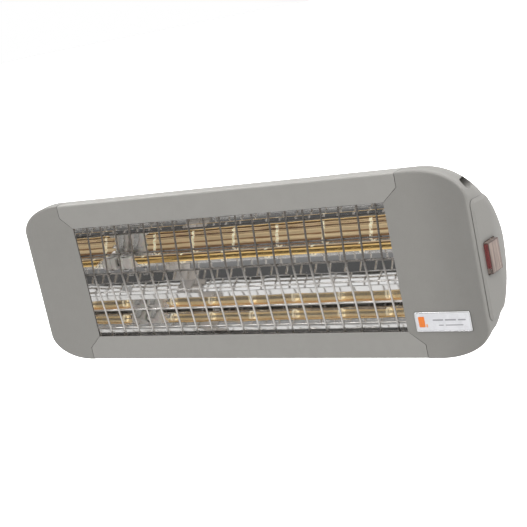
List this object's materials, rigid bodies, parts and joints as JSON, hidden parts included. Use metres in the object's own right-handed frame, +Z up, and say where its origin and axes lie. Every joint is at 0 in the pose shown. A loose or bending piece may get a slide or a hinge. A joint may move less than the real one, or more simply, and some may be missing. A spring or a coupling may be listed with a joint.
{
  "type": "infrared heat lamp warmer",
  "caption": "Wall-mounted infrared heat lamp: long grey casing with wire guard, mirror reflector, tubular lamp, rounded end caps with a side switch, on a tilting sliding bracket.",
  "frame": {"origin": "centre of the wall foot's back face, which lies on the wall", "axes": "+X along the unit towards the switch end, +Y from the unit's face into the wall, +Z up"},
  "size_m": [0.5167, 0.1538, 0.1506],
  "materials": {
    "body_paint": "satin fine-texture powder coat, warm mid grey",
    "reflector_mirror": "polished anodised aluminium sheet",
    "guard_steel": "bright nickel-plated steel wire",
    "quartz_gold": "quartz tube with gold reflective coating",
    "tungsten": "dark tungsten",
    "ceramic": "unglazed steatite",
    "steel": "zinc plated",
    "stainless": "stainless spring steel",
    "aluminium": "plain rivet aluminium",
    "badge_chrome": "bright metallised label plate",
    "switch_black": "moulded black nylon",
    "rocker_red": "glossy red",
    "boot_clear": "clear flexible vinyl",
    "brass": "bare brass",
    "seal_rubber": "matt black silicone",
    "cable_black": "matt black rubber sheath",
    "gland_black": "moulded black nylon",
    "sleeve_white": "glass-fibre sleeve over silicone wire",
    "wire_brown": "silicone insulation",
    "wire_blue": "silicone insulation",
    "wire_green": "silicone insulation, green and yellow"
  },
  "bodies": {
    "wall_bracket": {"wall_foot": "body_paint", "friction_washers": "gland_black", "pivot_washers": "steel", "pivot_bolts": "steel", "pivot_nuts": "steel"},
    "saddle": {"saddle_bracket": "body_paint", "slot_bolts": "steel", "slot_washers": "steel", "slot_nuts": "steel"},
    "rocker": {"rocker": "rocker_red"},
    "head": {"housing": "body_paint", "end_cap_right": "body_paint", "end_cap_left": "body_paint", "end_seal_right": "seal_rubber", "end_seal_left": "seal_rubber", "cap_screws": "stainless", "guard_grille": "guard_steel", "reflector": "reflector_mirror", "reflector_end_right": "reflector_mirror", "reflector_end_left": "reflector_mirror", "reflector_rivets": "aluminium", "lamp_tube": "quartz_gold", "filament": "tungsten", "filament_supports": "tungsten", "lamp_base_right": "ceramic", "lamp_base_left": "ceramic", "lamp_clip_right": "stainless", "lamp_clip_left": "stainless", "clip_screws": "steel", "badge": "badge_chrome", "switch_body": "switch_black", "switch_blades": "brass", "switch_boot": "boot_clear", "terminal_block": "ceramic", "terminal_screws": "steel", "block_screws": "steel", "earth_screw": "brass", "wire_feed": "wire_brown", "lamp_lead_right": "sleeve_white", "lamp_lead_left": "sleeve_white", "supply_core_live": "wire_brown", "supply_core_neutral": "wire_blue", "supply_core_earth": "wire_green", "wire_earth": "wire_green", "cable_gland": "gland_black", "gland_seal": "seal_rubber", "gland_nut": "gland_black", "gland_locknut": "gland_black", "power_cable": "cable_black"}
  },
  "joints": [
    {"name": "tilt", "type": "hinge", "parent": "wall_bracket", "child": "saddle", "pos_m": [0, -0.032, 0], "axis": [1, 0, 0], "range_deg": [-60, 60]},
    {"name": "slot_slide", "type": "slide", "parent": "saddle", "child": "head", "axis": [1, 0, 0], "range_m": [-0.12, 0.12]},
    {"name": "rocker_press", "type": "hinge", "parent": "head", "child": "rocker", "pos_m": [0.233, -0.132, 0], "axis": [0, 1, 0], "range_deg": [0, 14]}
  ]
}
